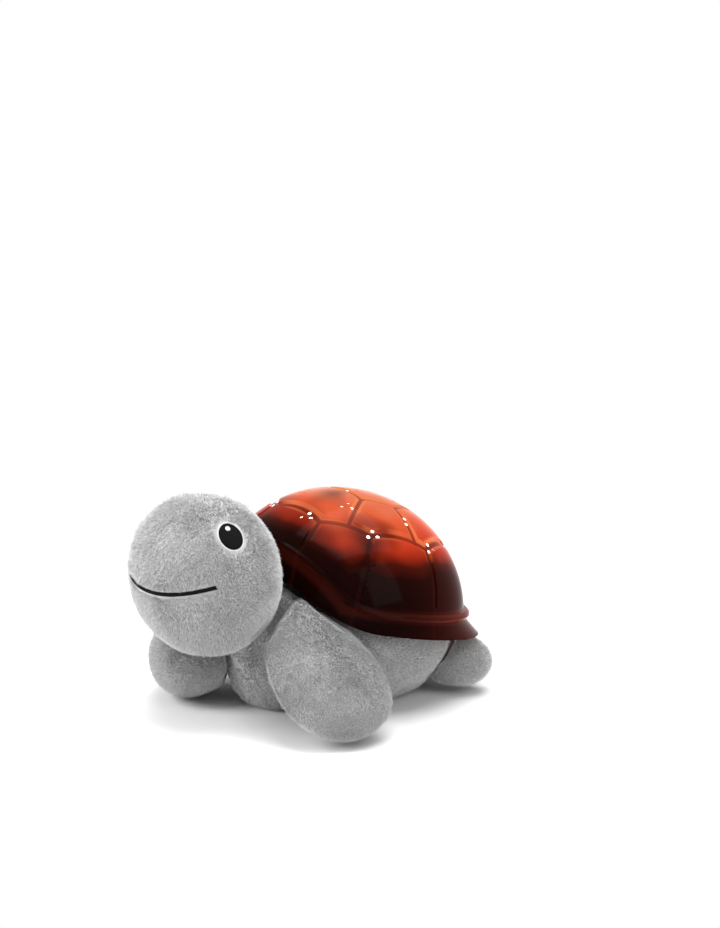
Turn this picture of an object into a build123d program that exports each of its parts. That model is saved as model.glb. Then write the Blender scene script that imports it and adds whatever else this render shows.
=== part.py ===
from build123d import *
import os
from math import cos, pi, radians, sin, sqrt, tan

os.makedirs("parts", exist_ok=True)

# Star projector: a stuffed turtle with a lit hard shell over a plastic module.
# Millimetres, +Z up, head towards -Y, origin on the belly's rest face below the neck.

# General clearances
soft_clear = 0.35
fit_clear = 0.3
screw_clear = 0.2
overrun = 8.0

# Stuffed body, a swelling cushion with a well for the module
body_half_width = 62.0
body_half_length = 72.0
body_height = 84.0
body_mid_y = 46.0
body_level_shares = (0, 0.07, 0.19, 0.37, 0.56, 0.76, 1.0)
body_width_shares = (0.6, 0.7, 0.87, 1.0, 0.96, 0.84, 0.58)
body_length_shares = (0.82, 0.89, 0.97, 1.0, 0.96, 0.84, 0.6)
body_lean_shares = (0.07, 0.07, 0.05, 0.03, 0.08, 0.16, 0.2)

# Stuffed head
head_half_width = 49.0
head_half_depth = 39.5
head_half_height = 46.0
head_y = -53.5
head_z = 86.6
head_latitudes = (-76, -58, -38, -14, 12, 36, 58, 76)
neck_y = -18.0
neck_z = 66.0
nod_up_angle = 4
nod_down_angle = 10
nod_spare = 0.6

# Embroidered face
stitch_height = 0.8
eye_half_width = 6.9
eye_half_height = 8.7
eye_rim_width = 0.9
eye_side = 35.3
eye_forward = 7.5
eye_up = 30.7
eye_lean_angle = 9
glint_radius = 1.6
glint_rise = 4.6
glint_shift = 0.3
glint_height = 0.5
mouth_left_reach = 40.0
mouth_right_reach = 25.0
mouth_end_rise = 4.0
mouth_mid_drop = 4.0
mouth_thick = 2.0

# Front flippers, one swung out and one turned forwards
left_length = 93.0
left_half_width = 34.2
left_half_thick = 17.5
right_length = 73.5
right_half_width = 37.4
right_half_thick = 24.0
front_station_shares = (0, 0.12, 0.3, 0.5, 0.7, 0.86, 0.95, 1.0)
front_width_shares = (0.5, 0.64, 0.82, 0.97, 1.0, 0.84, 0.56, 0.24)
front_thick_shares = (0.8, 0.95, 1.0, 1.0, 0.96, 0.8, 0.54, 0.24)
left_shoulder_x = 25.6
left_shoulder_y = -14.3
left_shoulder_z = 64.7
left_sweep_angle = 5
left_droop_angle = 36.6
right_shoulder_x = 16.0
right_shoulder_y = -2.0
right_shoulder_z = 56.0
right_sweep_angle = 48
right_droop_angle = 37.6
front_swing_angle = 10
left_wall_turn_angle = 30
left_wall_dip_angle = 34
right_wall_turn_angle = 158
right_wall_dip_angle = 49

# Rear flippers
rear_length = 40.0
rear_half_width = 17.0
rear_half_thick = 14.0
rear_station_shares = (0, 0.2, 0.42, 0.64, 0.82, 0.94, 1.0)
rear_width_shares = (0.72, 0.88, 1.0, 0.98, 0.82, 0.54, 0.24)
rear_thick_shares = (0.75, 0.92, 1.0, 0.96, 0.8, 0.52, 0.22)
rear_root_x = 32.0
rear_root_y = 80.0
rear_root_z = 21.0
rear_sweep_angle = 50
rear_droop_angle = 6
rear_swing_angle = 8

# Shell, a dome of revolution tipped back on its own axis and widest below its deck
shell_tilt = 19.6
shell_y = 48.4
shell_z = 65.0
shell_radius = 73.9
shell_rise = 53.5
dome_sink = 16.0
shell_wall = 2.4
shell_depth = 48.0

# Rim line of the shell, drawn from the side in the shell's own frame
rim_corner_y = -44.9
rim_corner_z = -24.3
rim_rear_angle = 7.4
rim_front_angle = 44
rim_round = 46.4
rim_reach = 120.0
bead_low = 9.0
bead_high = 14.4
bead_proud = 3.5
bead_root = 0.6
bead_section_angles = (60, 25, -10, -45)
flare_shares = (0, 0.3, 0.6, 0.85, 1.0)
flare_power = 1.5
lip_flare = 3.2
lip_thick = 2.2
skirt_shift = 8.9
ring_points = 36
hug_rounds = 10

# Plates of the shell, parted by shallow channels
channel_width = 4.4
channel_depth = 0.9
plate_ring_radius = 53.5
crown_ring_radius = 25.0
plate_angles = (24, 57, 98, 148)
crown_angles = (42, 90, 138)

# Light windows, one at the crown and groups of three in rings about it
window_radius = 1.2
window_clear = 0.1
window_pitch = 5.6
window_group_shares = ((0, 0), (1, 0.3), (0.35, 0.95))
window_lean_shares = (0.14, 0.36, 0.53)
window_counts = (3, 6, 8)
window_starts = (30, -60, -34)

# Deck that closes the shell from below
deck_clear = 0.4
deck_rim_clear = 2.6
deck_top = -4.0
deck_thick = 2.0
deck_boss_radius = 3.4
deck_boss_height = 5.0
deck_boss_circle = 44.0
deck_boss_angles = (30, 150, 210, 330)
dome_boss_radius = 4.2
dome_boss_height = 12.0
dome_boss_circle = 59.0
dome_boss_web = 3.0
boss_root_share = 0.4
dome_boss_angles = (45, 135, 225, 315)
screw_radius = 1.25
screw_head_radius = 2.6
screw_head_height = 1.6
screw_bite = 6.0
screw_slot_width = 0.7
screw_slot_depth = 0.8

# Tub that holds the cells, the loudspeaker and the main board
tub_half_width = 29.0
tub_half_length = 38.0
tub_mid_y = 46.0
tub_corner = 8.0
tub_wall = 2.0
tub_floor = 2.0
tub_lift = 3.0
flange_radius = 50.0
flange_thick = 3.0

# Cells, their bay and the door
cell_radius = 5.25
cell_length = 43.3
cell_nub_radius = 1.9
cell_nub_length = 1.2
cell_count = 3
cell_gap = 0.5
bay_wall = 1.4
bay_height = 14.0
bay_rear_y = 75.0
cell_rest = 1.0
contact_thick = 0.5
contact_half_width = 4.0
contact_height = 9.0
contact_gap = 0.1
door_half_width = 24.6
door_length = 37.0
door_clear = 0.4
barrel_radius = 1.7
pin_radius = 0.9
pin_length = 1.8
pin_clear = 0.2
ear_height = 3.0
ear_half_length = 3.2
lock_radius = 1.3
lock_length = 3.6
lock_head_radius = 2.6
lock_head_height = 0.8
lock_inset = 2.9
lock_boss_radius = 2.6
lock_boss_height = 5.0
lock_clear = 0.5
finger_notch_radius = 5.0
finger_notch_depth = 0.8

# Loudspeaker and its grille
speaker_radius = 14.5
speaker_y = 24.7
speaker_rim = 2.2
speaker_rim_height = 2.0
basket_height = 6.0
basket_radius = 10.5
basket_wall = 1.0
magnet_radius = 9.0
magnet_height = 5.0
cone_drop = 4.0
cone_wall = 0.5
cone_clear = 0.2
grille_hole_radius = 1.1
grille_pitch = 4.2
grille_rings = 3

# Main board above the loudspeaker
board_half_width = 25.0
board_half_length = 14.0
board_thick = 1.6
board_z = 24.0
board_y = 26.0
post_radius = 2.0
post_inset = 2.6
chip_shares = (
    (0, 0.1, 0.36, 0.4, 1.0),
    (-0.55, 0.1, 0.2, 0.42, 1.4),
    (0.56, -0.1, 0.22, 0.34, 1.2),
)
chip_height = 1.6
board_screw_radius = 1.0
board_screw_head_radius = 2.0
board_screw_head_height = 1.2
board_screw_bite = 5.0

# Slide switch in the belly of the tub
switch_x = 21.0
switch_y = 24.0
switch_height = 5.0
switch_wall = 0.8
knob_half_width = 1.6
knob_half_length = 1.8
knob_drop = 1.6
knob_flange = 0.7
knob_flange_height = 1.2
knob_travel = 2.4
knob_clear = 0.3

# Thumb wheel for the volume, let through the belly of the tub
wheel_x = -21.5
wheel_y = 24.0
wheel_radius = 6.5
wheel_thick = 2.6
wheel_rise = 5.2
wheel_axle_radius = 1.1
wheel_clear = 0.4
wheel_rib_count = 20
wheel_rib_depth = 0.35
pot_thick = 2.4
pot_half_length = 5.4

# Push buttons at the back of the shell
button_x = 11.0
button_z = 12.3
button_radius = 4.3
button_clear = 0.35
button_proud = 1.4
button_flange = 1.1
button_flange_thick = 1.2
button_travel = 1.0
button_round = 0.7
tact_half = 3.0
tact_thick = 3.2
tact_plunger_radius = 1.5
tact_plunger_length = 1.6
tact_gap = 0.2
key_board_half_width = 19.0
key_board_top = 18.0
key_board_thick = 1.6

# Lamps on the deck
lamp_board_half_width = 17.0
lamp_board_half_length = 14.0
lamp_board_thick = 1.6
lamp_radius = 2.5
lamp_height = 4.2
lamp_circle = 6.5
lamp_collar = 0.5
lamp_collar_height = 1.0

# Frames: the shell's own tipped frame, and the places along it
tilt = radians(shell_tilt)
shell_plane = Plane(
    origin=(0, shell_y, shell_z), x_dir=(1, 0, 0), z_dir=(0, sin(tilt), cos(tilt))
)
flange_top = deck_top - deck_thick
big = shell_radius + rim_reach


def tipped(shape):
    return shell_plane * shape


# Ovals of four tangent quarter turns, and lofts through them
def oval(half_x, half_y):
    s = sin(pi / 4)
    k = (half_y - half_x) / (2 * s - 1)
    end_radius = half_x - k * (1 - s)
    side_radius = end_radius + k
    px = end_radius * s
    py = side_radius * s
    return make_face(
        [
            ThreePointArc((px, -py), (half_x, 0), (px, py)),
            ThreePointArc((px, py), (0, half_y), (-px, py)),
            ThreePointArc((-px, py), (-half_x, 0), (-px, -py)),
            ThreePointArc((-px, -py), (0, -half_y), (px, -py)),
        ]
    )


def largest(shape):
    return max(shape.solids(), key=lambda solid: solid.volume)


def body_form(grow):
    sections = []
    for level, width, length, lean in zip(
        body_level_shares, body_width_shares, body_length_shares, body_lean_shares
    ):
        face = oval(body_half_width * width + grow, body_half_length * length + grow)
        middle = body_mid_y - body_half_length * lean
        sections.append(Pos(0, middle, body_height * level) * face)
    return loft(sections)


def head_form(grow):
    sections = []
    for latitude in head_latitudes:
        ring = cos(radians(latitude))
        level = (head_half_height + grow) * sin(radians(latitude))
        face = oval((head_half_width + grow) * ring, (head_half_depth + grow) * ring)
        sections.append(Pos(0, head_y, head_z + level) * face)
    return loft(sections)


def limb_form(root, sweep, droop, length, half_width, half_thick, tables):
    across = Vector(-sin(sweep), cos(sweep), 0)
    along = Vector(cos(droop) * cos(sweep), cos(droop) * sin(sweep), -sin(droop))
    sections = []
    for station, width, thick in zip(*tables):
        place = Plane(origin=root + along * (length * station), x_dir=across, z_dir=along)
        sections.append(place * oval(half_width * width, half_thick * thick))
    return loft(sections)


# Rim line in the shell's side view, raised by an offset: two lines and an arc
def rim_line(offset):
    rear = radians(rim_rear_angle)
    front = radians(rim_front_angle)
    half_turn = (rear + front) / 2
    bisect = pi / 2 + (rear - front) / 2
    lift = offset / cos(half_turn)
    corner = (rim_corner_y + lift * cos(bisect), rim_corner_z + lift * sin(bisect))
    radius = rim_round - offset
    run = radius * tan(half_turn)
    to_arc = radius / cos(half_turn)
    centre = (corner[0] + to_arc * cos(bisect), corner[1] + to_arc * sin(bisect))
    lowest = (centre[0] - radius * cos(bisect), centre[1] - radius * sin(bisect))
    rear_touch = (corner[0] + run * cos(rear), corner[1] + run * sin(rear))
    front_touch = (corner[0] - run * cos(front), corner[1] + run * sin(front))
    return corner, radius, centre, lowest, rear_touch, front_touch


def rim_height(y, offset):
    corner, radius, centre, lowest, rear_touch, front_touch = rim_line(offset)
    if y > rear_touch[0]:
        return corner[1] + (y - corner[0]) * tan(radians(rim_rear_angle))
    if y < front_touch[0]:
        return corner[1] + (corner[0] - y) * tan(radians(rim_front_angle))
    return centre[1] - sqrt(radius**2 - (y - centre[0]) ** 2)


def above_rim(offset):
    corner, radius, centre, lowest, rear_touch, front_touch = rim_line(offset)
    rear_end = (corner[0] + rim_reach, rim_height(corner[0] + rim_reach, offset))
    front_end = (corner[0] - rim_reach, rim_height(corner[0] - rim_reach, offset))
    top_rear = (rear_end[0], big)
    top_front = (front_end[0], big)
    face = make_face(
        [
            Line(rear_end, rear_touch),
            ThreePointArc(rear_touch, lowest, front_touch),
            Line(front_touch, front_end),
            Line(front_end, top_front),
            Line(top_front, top_rear),
            Line(top_rear, rear_end),
        ]
    )
    side = Plane(origin=(0, 0, 0), x_dir=(0, 1, 0), z_dir=(1, 0, 0))
    return extrude(side * face, amount=big, both=True)


# Radius of the dome at a height, drawn in by an inset
def dome_radius(z, inset):
    share = max(0, z + dome_sink) / (shell_rise + dome_sink - inset)
    return (shell_radius - inset) * sqrt(1 - share**2)


# Closed ring that follows the rim line and hugs the dome, proud of its skin
def rim_ring(proud, shift, offset):
    points = []
    for i in range(ring_points):
        turn = 2 * pi * i / ring_points
        radius = shell_radius + proud
        for step in range(hug_rounds):
            level = rim_height(shift + radius * sin(turn), offset)
            radius = dome_radius(level, 0) + proud
        y = shift + radius * sin(turn)
        points.append((radius * cos(turn), y, rim_height(y, offset)))
    return Spline(*points, periodic=True).edge()


# Dome of revolution, drawn in by an inset
def dome_form(inset):
    radius = shell_radius - inset
    top = shell_rise - inset
    middle = (0, -dome_sink)
    face = make_face(
        [
            Line((0, -shell_depth), (radius, -shell_depth)),
            Line((radius, -shell_depth), (radius, -dome_sink)),
            EllipticalCenterArc(middle, radius, top + dome_sink, start_angle=0, arc_size=90),
            Line((0, top), (0, -shell_depth)),
        ]
    )
    return revolve(Plane.XZ * face, Axis.Z)


def rod(radius, height, x=0, y=0, z=0):
    return Pos(x, y, z) * Cylinder(radius, height, align=(Align.CENTER, Align.CENTER, Align.MIN))


def block(half_x, half_y, height, x=0, y=0, z=0):
    shape = Box(2 * half_x, 2 * half_y, height, align=(Align.CENTER, Align.CENTER, Align.MIN))
    return Pos(x, y, z) * shape


def round_block(half_x, half_y, corner, height, y, z):
    return Pos(0, y, z) * extrude(RectangleRounded(2 * half_x, 2 * half_y, corner), amount=height)


def polar(radius, angle):
    return radius * cos(radians(angle)), radius * sin(radians(angle))


# Collar of the shell: a rounded bead above a skirt that flares to the lip
bead_mid = (bead_low + bead_high) / 2
bead_half = (bead_high - bead_low) / 2
collar_rings = [rim_ring(-shell_wall / 2, 0, bead_high)]
for angle in bead_section_angles:
    proud = bead_proud * cos(radians(angle))
    collar_rings.append(rim_ring(proud, 0, bead_mid + bead_half * sin(radians(angle))))
for share in flare_shares:
    proud = bead_root + (lip_flare - bead_root) * share**flare_power
    collar_rings.append(rim_ring(proud, skirt_shift * share, bead_low * (1 - share)))
for share in reversed(flare_shares):
    proud = bead_root + (lip_flare - bead_root) * share**flare_power - lip_thick
    collar_rings.append(rim_ring(proud, skirt_shift * share, bead_low * (1 - share)))
collar_rings.append(rim_ring(-shell_wall / 2, 0, bead_mid))
collar_faces = [
    Face.make_surface_from_curves(collar_rings[i - 1], collar_rings[i])
    for i in range(len(collar_rings))
]
collar = Solid(Shell(collar_faces))

# Shell with its collar, plate channels, windows and bosses
shell = (dome_form(0) - dome_form(shell_wall)) & above_rim(bead_mid)
shell += collar


def front_angle(turn):
    return turn - 90


def ring_band(radius, angles):
    corners = [polar(radius, front_angle(a)) for a in angles]
    outer = make_face(Polyline(*corners, close=True))
    return extrude(offset(outer, channel_width / 2) - offset(outer, -channel_width / 2), big)


plate_turns = sorted(list(plate_angles) + [-a for a in plate_angles])
crown_turns = sorted(list(crown_angles) + [-a for a in crown_angles])
channels = ring_band(plate_ring_radius, plate_turns) + ring_band(crown_ring_radius, crown_turns)
spoke_half = (shell_radius + overrun - plate_ring_radius) / 2
for turn in plate_turns:
    x, y = polar(plate_ring_radius + spoke_half, front_angle(turn))
    spoke = block(spoke_half, channel_width / 2, big, z=-shell_depth)
    channels += Pos(x, y, 0) * Rot(0, 0, front_angle(turn)) * spoke
crown_half = (plate_ring_radius - crown_ring_radius) / 2
for turn in crown_turns:
    x, y = polar(crown_ring_radius + crown_half, front_angle(turn))
    spoke = block(crown_half, channel_width / 2, big)
    channels += Pos(x, y, 0) * Rot(0, 0, front_angle(turn)) * spoke
shell -= (channels & above_rim(bead_high + bead_proud)) - dome_form(channel_depth)


def dome_place(lean, turn):
    flat = Vector(cos(turn) * sin(lean), sin(turn) * sin(lean), 0)
    height = shell_rise + dome_sink
    point = flat * shell_radius + Vector(0, 0, height * cos(lean) - dome_sink)
    normal = flat * (1 / shell_radius) + Vector(0, 0, cos(lean) / height)
    return Plane(origin=point, z_dir=normal)


def window_places():
    places = [dome_place(0, 0)]
    step = window_pitch / shell_radius
    for share, count, start in zip(window_lean_shares, window_counts, window_starts):
        lean = share * pi / 2
        for i in range(count):
            turn = radians(start + 360 * i / count)
            for along, rise in window_group_shares:
                places.append(dome_place(lean - rise * step, turn + along * step / sin(lean)))
    return places


window_planes = window_places()
window_length = shell_wall + overrun
window_drill = Pos(0, 0, -shell_wall - overrun / 2) * rod(window_radius, window_length)
shell -= [place * window_drill for place in window_planes]
window_pin = rod(window_radius - window_clear, shell_wall - channel_depth, z=-shell_wall)
windows = [tipped(place * window_pin) for place in window_planes]

dome_fill = dome_form(shell_wall * boss_root_share)
for angle in dome_boss_angles:
    x, y = polar(dome_boss_circle, angle)
    boss = rod(dome_boss_radius, dome_boss_height, x, y, deck_top)
    web_half = (shell_radius - dome_boss_circle) / 2
    wx, wy = polar(dome_boss_circle + web_half, angle)
    web = block(web_half, dome_boss_web / 2, dome_boss_height)
    web = Pos(wx, wy, deck_top) * Rot(0, 0, angle) * web
    shell += (boss + web) & dome_fill
    shell -= rod(screw_radius, screw_bite, x, y, deck_top)

# Buttons pass through the back wall of the shell along its own Y axis
button_edge = button_radius + button_flange
wall_at_button = dome_radius(button_z + button_edge, shell_wall)
flange_face = sqrt(wall_at_button**2 - (button_x + button_edge) ** 2) - fit_clear
button_face = sqrt(dome_radius(button_z, 0) ** 2 - button_x**2) + button_proud
button_back = flange_face - button_flange_thick
backward = Plane(origin=(0, 0, 0), x_dir=(1, 0, 0), z_dir=(0, 1, 0))
for side in (-1, 1):
    hole = rod(button_radius + button_clear, shell_radius, z=flange_face)
    shell -= backward * Pos(side * button_x, -button_z, 0) * hole


def push_button(side):
    cap = rod(button_radius, button_face - button_back, z=button_back)
    cap = fillet(cap.edges().sort_by(Axis.Z)[-1], button_round)
    cap += rod(button_edge, button_flange_thick, z=button_back)
    return tipped(backward * Pos(side * button_x, -button_z, 0) * cap)


tact_face = button_back - button_travel - tact_gap
tact_back = tact_face - tact_plunger_length - tact_thick
tacts = []
for side in (-1, 1):
    tact = block(tact_half, tact_half, tact_thick, z=tact_back)
    tact += rod(tact_plunger_radius, tact_plunger_length, z=tact_back + tact_thick)
    tacts.append(tipped(backward * Pos(side * button_x, -button_z, 0) * tact))
key_board = block(
    key_board_half_width,
    key_board_thick / 2,
    key_board_top - deck_top,
    0,
    tact_back - key_board_thick / 2,
    deck_top,
)

# Deck, kept inside the skirt and above the rim at the front
skirt_inside = dome_radius(flange_top, 0) + lip_flare - lip_thick
deck = rod(dome_radius(deck_top, shell_wall) - deck_clear, deck_thick, z=flange_top)
deck &= rod(skirt_inside - deck_clear, deck_thick, 0, skirt_shift, flange_top)
deck &= above_rim(deck_rim_clear)
for angle in deck_boss_angles:
    x, y = polar(deck_boss_circle, angle)
    deck += rod(deck_boss_radius, deck_boss_height, x, y, deck_top)
    deck -= rod(screw_radius, screw_bite, x, y, flange_top)
for angle in dome_boss_angles:
    x, y = polar(dome_boss_circle, angle)
    deck -= rod(screw_radius + screw_clear, deck_thick, x, y, flange_top)


def screw(head_radius, head_height, shaft_radius, shaft_length):
    body = rod(shaft_radius, shaft_length) + rod(head_radius, head_height, z=-head_height)
    slot = block(head_radius, screw_slot_width / 2, screw_slot_depth, z=-head_height)
    return body - slot - Rot(0, 0, 90) * slot


def ring_of_screws(circle, angles, level, length):
    one = screw(screw_head_radius, screw_head_height, screw_radius - screw_clear / 4, length)
    return [tipped(Pos(*polar(circle, a), level) * one) for a in angles]


dome_screws = ring_of_screws(
    dome_boss_circle, dome_boss_angles, flange_top, deck_thick + screw_bite - fit_clear
)
flange_low = flange_top - flange_thick
flange_screws = ring_of_screws(
    deck_boss_circle, deck_boss_angles, flange_low, flange_thick + screw_bite - fit_clear
)

# Lamps
lamp_board = block(
    lamp_board_half_width, lamp_board_half_length, lamp_board_thick, z=deck_top
)
lamp_base = deck_top + lamp_board_thick


def lamp(angle):
    x, y = polar(lamp_circle, angle)
    bulb = rod(lamp_radius, lamp_height, x, y, lamp_base)
    bulb += Pos(x, y, lamp_base + lamp_height) * Sphere(lamp_radius)
    return tipped(bulb + rod(lamp_radius + lamp_collar, lamp_collar_height, x, y, lamp_base))


# Tub with its tipped flange
floor_top = tub_lift + tub_floor
tall = shell_z + shell_rise
tub = round_block(tub_half_width, tub_half_length, tub_corner, tall, tub_mid_y, tub_lift)
tub_inside = round_block(
    tub_half_width - tub_wall,
    tub_half_length - tub_wall,
    tub_corner - tub_wall,
    tall,
    tub_mid_y,
    floor_top,
)
tub -= tipped(rod(big, big, z=flange_top))
tub += tipped(rod(flange_radius, flange_thick, z=flange_low))
tub -= tub_inside
for angle in deck_boss_angles:
    x, y = polar(deck_boss_circle, angle)
    tub -= tipped(rod(screw_radius + screw_clear, flange_thick, x, y, flange_low))

# Bay for the cells
cell_pitch = 2 * cell_radius + cell_gap
bay_front_y = bay_rear_y - cell_count * cell_pitch - cell_gap
bay_half_width = tub_half_width - tub_wall
tub += block(bay_half_width, bay_wall / 2, bay_height, 0, bay_front_y - bay_wall / 2, floor_top)

# Door opening, hinge ears and lock boss
hinge_y = bay_front_y + barrel_radius + door_clear
hinge_z = tub_lift + tub_floor / 2
door_end_y = hinge_y + door_length
opening_front = hinge_y - barrel_radius - door_clear
opening_half_length = (door_end_y + door_clear - opening_front) / 2
opening_half_width = door_half_width + door_clear
tub -= block(
    opening_half_width,
    opening_half_length,
    tub_floor,
    0,
    opening_front + opening_half_length,
    tub_lift,
)
across = Plane(origin=(0, 0, 0), x_dir=(0, 1, 0), z_dir=(1, 0, 0))
ear_half_width = (bay_half_width - opening_half_width) / 2
pin_reach = door_half_width + pin_length
for side in (-1, 1):
    ear_x = side * (opening_half_width + ear_half_width)
    tub += block(ear_half_width, ear_half_length, ear_height, ear_x, hinge_y, tub_lift)
pin_hole = Cylinder(pin_radius + pin_clear, 2 * (pin_reach + fit_clear))
tub -= across * Pos(hinge_y, hinge_z, 0) * pin_hole
lock_y = door_end_y - lock_inset
lock_z = floor_top + fit_clear
lock_boss = rod(lock_boss_radius, lock_boss_height, 0, lock_y, lock_z)
lock_wall = tub_mid_y + tub_half_length - tub_wall / 2
lock_web_half = (lock_wall - lock_y) / 2
lock_boss += block(
    lock_boss_radius, lock_web_half, lock_boss_height, 0, lock_y + lock_web_half, lock_z
)
lock_boss -= rod(lock_radius + lock_clear, lock_boss_height, 0, lock_y, lock_z)
tub += lock_boss

# Grille, posts, switch slot and wheel slot
for ring in range(grille_rings):
    for i in range(max(1, 6 * ring)):
        x, y = polar(grille_pitch * ring, 60 * i / max(1, ring))
        tub -= rod(grille_hole_radius, tub_floor, x, speaker_y + y, tub_lift)
post_places = [
    (sx * (board_half_width - post_inset), board_y + sy * (board_half_length - post_inset))
    for sx in (-1, 1)
    for sy in (-1, 1)
]
for x, y in post_places:
    tub += rod(post_radius, board_z - floor_top, x, y, floor_top)
    tub -= rod(board_screw_radius, board_screw_bite, x, y, board_z - board_screw_bite)
slot_half_width = knob_half_width + knob_clear
slot_half_length = knob_half_length + knob_travel + knob_clear
tub -= block(slot_half_width, slot_half_length, tub_floor, switch_x, switch_y, tub_lift)
wheel_z = tub_lift + wheel_rise
wheel_slot_half = sqrt((wheel_radius + wheel_clear) ** 2 - (wheel_z - floor_top) ** 2)
tub -= block(
    wheel_thick / 2 + wheel_clear, wheel_slot_half, tub_floor, wheel_x, wheel_y, tub_lift
)

# Cells lie across the bay, with flat and bowed contacts at their ends
cell_z = floor_top + cell_rest + cell_radius
flat_x = bay_half_width - contact_gap - contact_thick
nub_tip = flat_x - contact_gap
cell_head = nub_tip - cell_nub_length
cells = []
contacts = []
for i in range(cell_count):
    y = bay_front_y + cell_gap + cell_radius + cell_pitch * i
    way = 1 if i % 2 == 0 else -1
    can = rod(cell_radius, cell_length, z=cell_head - cell_length)
    can += rod(cell_nub_radius, cell_nub_length, z=cell_head)
    cells.append(Pos(0, y, cell_z) * Rot(0, 90 * way, 0) * can)
    plate = block(
        contact_thick / 2,
        contact_half_width,
        contact_height,
        way * (flat_x + contact_thick / 2),
        y,
        cell_z - contact_height / 2,
    )
    foot_x = -way * (flat_x + contact_thick)
    tip_x = -way * (cell_length - cell_head + contact_gap)
    skin_x = foot_x + way * contact_thick
    skin_tip = tip_x - way * contact_thick
    bow = make_face(
        Polyline(
            (foot_x, y - contact_half_width),
            (skin_x, y - contact_half_width),
            (tip_x, y),
            (skin_x, y + contact_half_width),
            (foot_x, y + contact_half_width),
            (skin_tip, y),
            close=True,
        )
    )
    leaf = extrude(Pos(0, 0, cell_z - contact_height / 2) * bow, contact_height)
    contacts += [plate, leaf]

# Door with its barrel, pins, finger notch and lock
door_half_length = (door_end_y - hinge_y) / 2
door = block(
    door_half_width, door_half_length, tub_floor, 0, hinge_y + door_half_length, tub_lift
)
door += across * Pos(hinge_y, hinge_z, 0) * Cylinder(barrel_radius, 2 * door_half_width)
door += across * Pos(hinge_y, hinge_z, 0) * Cylinder(pin_radius, 2 * pin_reach)
door -= rod(finger_notch_radius, finger_notch_depth, 0, hinge_y + door_half_length, tub_lift)
door -= rod(lock_radius + screw_clear, tub_floor, 0, lock_y, tub_lift)
door -= rod(lock_head_radius + screw_clear, lock_head_height, 0, lock_y, tub_lift)
lock = screw(lock_head_radius, lock_head_height - fit_clear / 2, lock_radius, lock_length)
door_screw = Pos(0, lock_y, tub_lift + lock_head_height) * lock

# Loudspeaker
speaker_at = Pos(0, speaker_y, floor_top)
cone_mouth = speaker_radius - speaker_rim
frame_hole = cone_mouth + cone_clear
basket_face = rod(speaker_radius, speaker_rim_height)
basket = loft(
    [
        Pos(0, 0, speaker_rim_height) * Circle(speaker_radius),
        Pos(0, 0, speaker_rim_height + basket_height) * Circle(basket_radius),
    ]
)
basket_hollow = loft(
    [
        Pos(0, 0, speaker_rim_height) * Circle(speaker_radius - basket_wall),
        Pos(0, 0, speaker_rim_height + basket_height - basket_wall)
        * Circle(basket_radius - basket_wall),
    ]
)
speaker_frame = basket_face + basket - basket_hollow - rod(frame_hole, speaker_rim_height)
speaker_frame = speaker_at * speaker_frame
magnet = speaker_at * rod(magnet_radius, magnet_height, z=speaker_rim_height + basket_height)
cone_neck = cone_mouth / 3
cone_shell = loft(
    [Circle(cone_mouth), Pos(0, 0, cone_drop) * Circle(cone_neck)]
) - Pos(0, 0, -cone_wall) * loft([Circle(cone_mouth), Pos(0, 0, cone_drop) * Circle(cone_neck)])
cone_shell += rod(cone_neck, cone_wall, z=cone_drop - cone_wall)
speaker_cone = speaker_at * Pos(0, 0, cone_wall) * cone_shell

# Main board, its chips and screws
main_board = block(board_half_width, board_half_length, board_thick, 0, board_y, board_z)
board_top = board_z + board_thick
board_screws = []
for x, y in post_places:
    main_board -= rod(board_screw_radius + screw_clear, board_thick, x, y, board_z)
    pin = screw(
        board_screw_head_radius,
        board_screw_head_height,
        board_screw_radius - screw_clear / 4,
        board_thick + board_screw_bite - fit_clear,
    )
    board_screws.append(Pos(x, y, board_top) * Rot(180, 0, 0) * pin)
chips = []
for at_x, at_y, wide, long, tall_share in chip_shares:
    chips.append(
        block(
            board_half_width * wide / 2,
            board_half_length * long,
            chip_height * tall_share,
            board_half_width * at_x,
            board_y + board_half_length * at_y,
            board_top,
        )
    )

# Slide switch
flange_half_width = knob_half_width + knob_flange
flange_half_length = knob_half_length + knob_flange
cave_half_width = flange_half_width + knob_clear
cave_half_length = flange_half_length + knob_travel + knob_clear
cave_height = knob_flange_height + 2 * knob_clear
switch_body = block(
    cave_half_width + switch_wall,
    cave_half_length + switch_wall,
    switch_height,
    switch_x,
    switch_y,
    floor_top,
) - block(cave_half_width, cave_half_length, cave_height, switch_x, switch_y, floor_top)
knob_low = tub_lift - knob_drop
knob = block(
    knob_half_width, knob_half_length, floor_top + knob_clear - knob_low, switch_x, switch_y, knob_low
)
knob += block(
    flange_half_width,
    flange_half_length,
    knob_flange_height,
    switch_x,
    switch_y,
    floor_top + knob_clear,
)

# Thumb wheel on its pot
wheel_at = across * Pos(wheel_y, wheel_z, wheel_x)
wheel = Cylinder(wheel_radius, wheel_thick) - Cylinder(wheel_axle_radius + pin_clear, wheel_thick)
for i in range(wheel_rib_count):
    x, y = polar(wheel_radius + wheel_rib_depth, 360 * i / wheel_rib_count)
    wheel -= Pos(x, y, 0) * Cylinder(2 * wheel_rib_depth, wheel_thick)
wheel = wheel_at * wheel
pot_x = wheel_x + wheel_thick / 2 + wheel_clear + pot_thick / 2
pot = block(
    pot_thick / 2,
    pot_half_length,
    wheel_z + pot_half_length - floor_top,
    pot_x,
    wheel_y,
    floor_top,
)
axle_length = wheel_thick + 2 * wheel_clear
axle_x = pot_x - pot_thick / 2 - axle_length / 2
pot += across * Pos(wheel_y, wheel_z, axle_x) * Cylinder(wheel_axle_radius, axle_length)

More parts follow.
